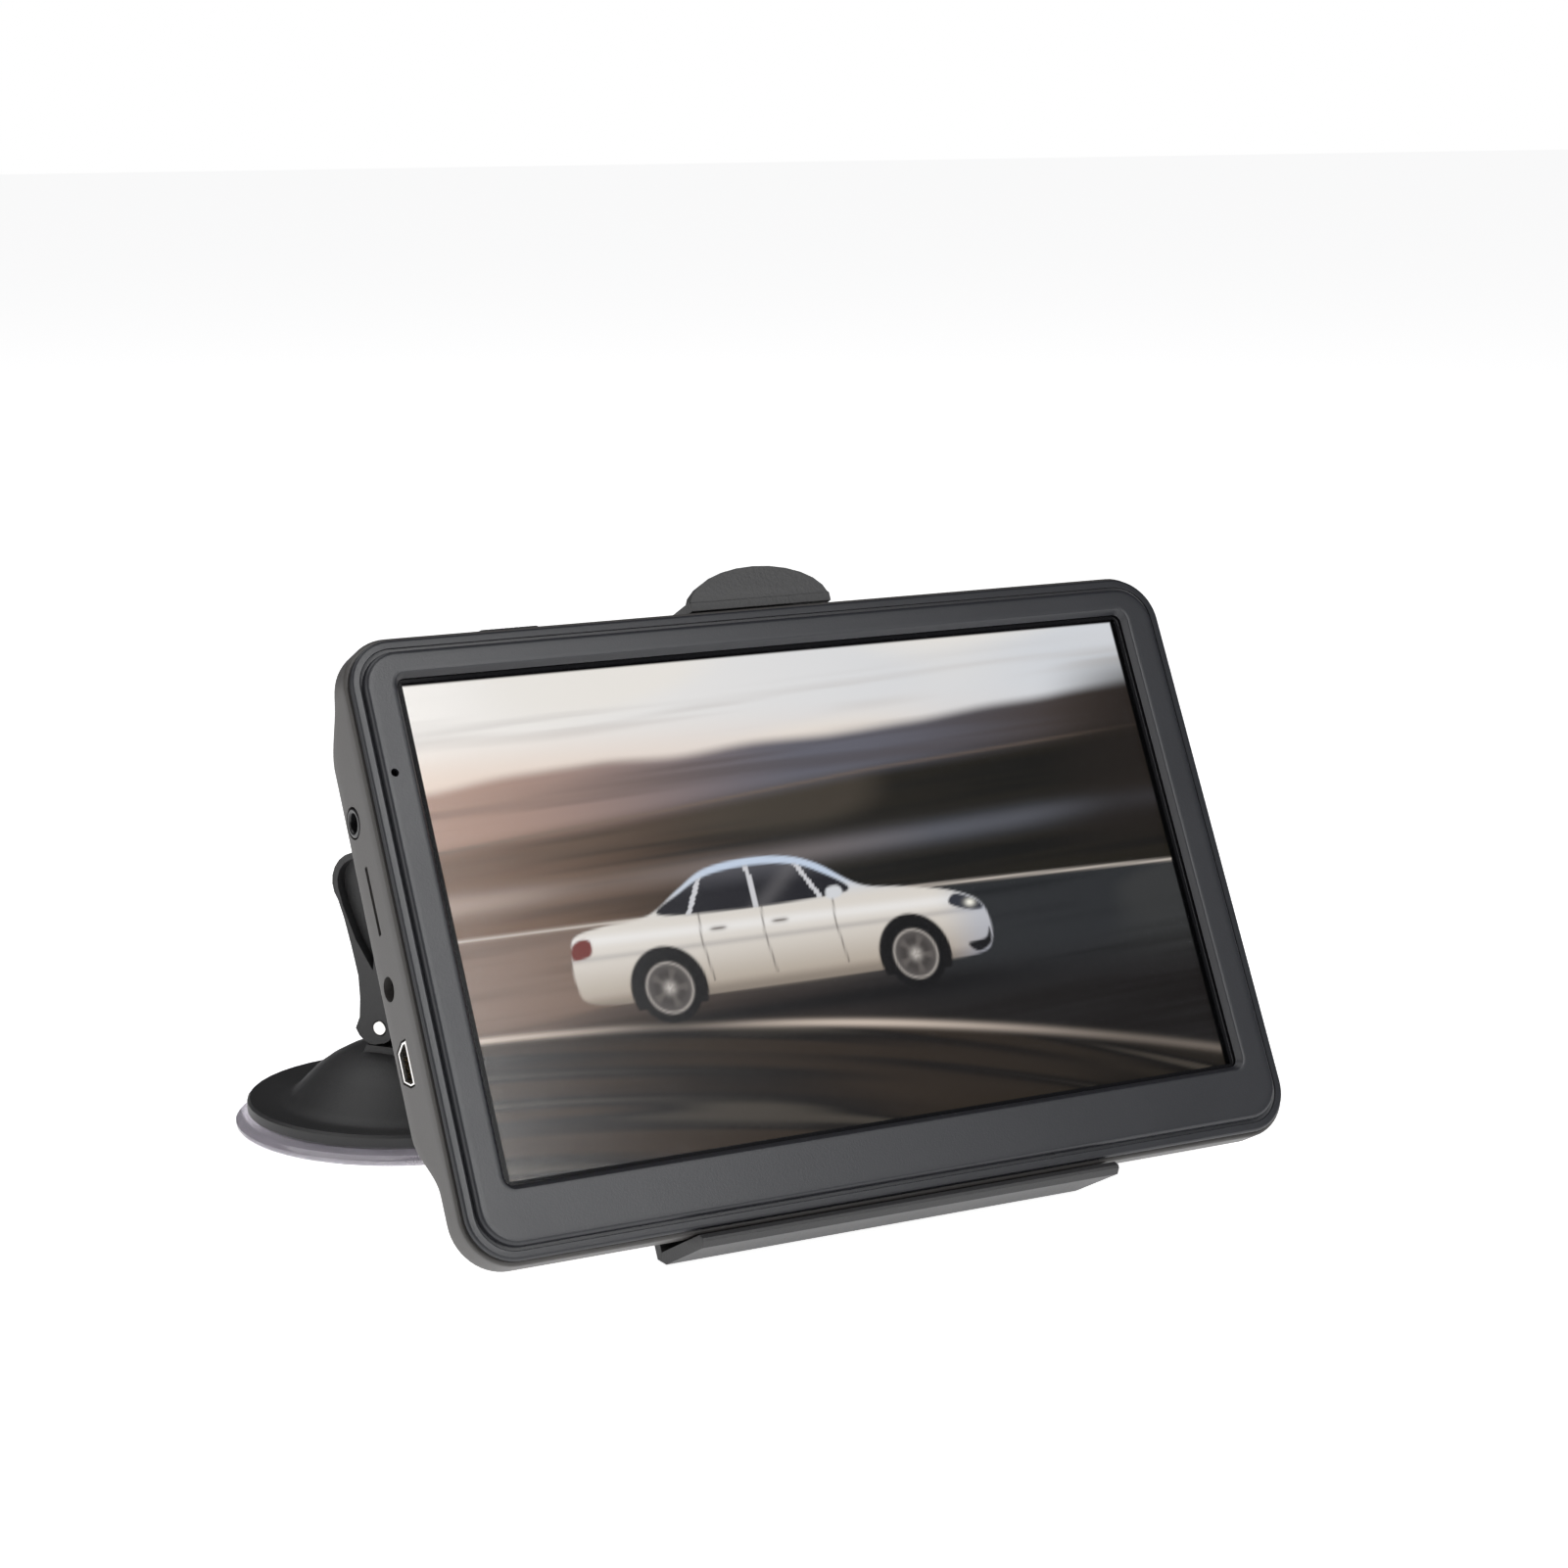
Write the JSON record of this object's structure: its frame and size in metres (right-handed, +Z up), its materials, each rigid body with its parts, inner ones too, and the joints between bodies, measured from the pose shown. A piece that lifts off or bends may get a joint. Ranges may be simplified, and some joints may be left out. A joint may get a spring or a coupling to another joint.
{
  "type": "portable gps navigator",
  "caption": "Widescreen portable navigator leaning back in a clip cradle on a swing arm, held by a round suction base with an upright lock lever.",
  "frame": {"origin": "centre of the suction pad's underside, on the surface that it sticks to", "axes": "+Z up from that surface, +X along the screen's width to the user's right, -Y towards the user; the screen leans back"},
  "size_m": [0.1741, 0.1567, 0.1167],
  "materials": {
    "satin_black": "satin moulded, dark blue-grey black",
    "warm_grey": "fine matt moulding, warm dark grey",
    "fine_black": "fine spark-eroded grain",
    "clear_vinyl": "clear soft vinyl, slightly lilac",
    "screen_glass": "clear touch glass",
    "display": "lit colour display behind a clear cover",
    "bright_steel": "nickel plated",
    "dark_plastic": "plain black moulding",
    "board_green": "solder resist",
    "cell_silver": "foil pouch",
    "ceramic": "fired ceramic patch",
    "ribbon_amber": "polyimide film"
  },
  "bodies": {
    "base": {"suction_base": "fine_black", "suction_pad": "clear_vinyl", "pivot_bolt": "bright_steel"},
    "stem": {"pull_stem": "dark_plastic"},
    "lever": {"lock_lever": "fine_black", "lever_pin": "bright_steel"},
    "thumb_nut": {"thumb_nut": "fine_black"},
    "arm": {"swing_arm": "fine_black"},
    "clamp_nut": {"clamp_nut": "fine_black"},
    "ball": {"mount_ball": "fine_black"},
    "cradle": {"cradle": "fine_black", "ball_stem": "fine_black", "clip_pin": "bright_steel"},
    "clip": {"top_clip": "fine_black"},
    "navigator": {"front_bezel": "satin_black", "rear_shell": "warm_grey", "touch_panel": "screen_glass", "lcd_panel": "display", "main_pcb": "board_green", "shield_can": "bright_steel", "gps_antenna": "ceramic", "battery_cell": "cell_silver", "loudspeaker": "dark_plastic", "microphone": "dark_plastic", "display_ribbon": "ribbon_amber", "earphone_jack": "dark_plastic", "av_jack": "dark_plastic", "card_socket": "bright_steel", "usb_socket": "bright_steel", "usb_tongue": "dark_plastic", "case_screw_1": "bright_steel", "case_screw_2": "bright_steel", "case_screw_3": "bright_steel", "case_screw_4": "bright_steel"},
    "button": {"power_button": "dark_plastic"}
  },
  "joints": [
    {"name": "stem_lift", "type": "slide", "parent": "base", "child": "stem", "axis": [0, 0, 1], "range_m": [0, 0.0024]},
    {"name": "lever_lock", "type": "hinge", "parent": "stem", "child": "lever", "pos_m": [0, 0, 0.0208], "axis": [-0.8363, -0.5482, 0], "range_deg": [0, 80]},
    {"name": "thumb_turn", "type": "hinge", "parent": "base", "child": "thumb_nut", "pos_m": [0.00932, -0.01422, 0.0195], "axis": [0.8363, 0.5482, 0], "range_deg": [0, 180]},
    {"name": "arm_swing", "type": "hinge", "parent": "base", "child": "arm", "pos_m": [0.00932, -0.01422, 0.0195], "axis": [-0.8363, -0.5482, 0], "range_deg": [0, 60]},
    {"name": "clamp_turn", "type": "hinge", "parent": "arm", "child": "clamp_nut", "pos_m": [0.0454, -0.06926, 0.04094], "axis": [-0.2711, 0.8762, -0.3984], "range_deg": [0, 90]},
    {"name": "head_pan", "type": "hinge", "parent": "arm", "child": "ball", "pos_m": [0.0454, -0.06926, 0.04094], "axis": [0, 0, 1], "range_deg": [-15, 15]},
    {"name": "head_tilt", "type": "hinge", "parent": "ball", "child": "cradle", "pos_m": [0.0454, -0.06926, 0.04094], "axis": [-1, 0, 0], "range_deg": [0, 15]},
    {"name": "clip_open", "type": "hinge", "parent": "cradle", "child": "clip", "pos_m": [0.0454, -0.06563, 0.07167], "axis": [-1, 0, 0], "range_deg": [0, 12], "stiffness_Nm_per_rad": 0.2, "springref_deg": -5.73},
    {"name": "unit_release", "type": "slide", "parent": "cradle", "child": "navigator", "axis": [0, -0.8897, 0.4565], "range_m": [0, 0.03]},
    {"name": "power_press", "type": "slide", "parent": "navigator", "child": "button", "axis": [0, -0.4565, -0.8897], "range_m": [0, 0.0008], "stiffness_N_per_m": 400, "springref_m": -0.001}
  ],
  "couplings": [
    {"joint": "lever_lock", "follows": "stem_lift", "rad_per_m": 581.78}
  ]
}
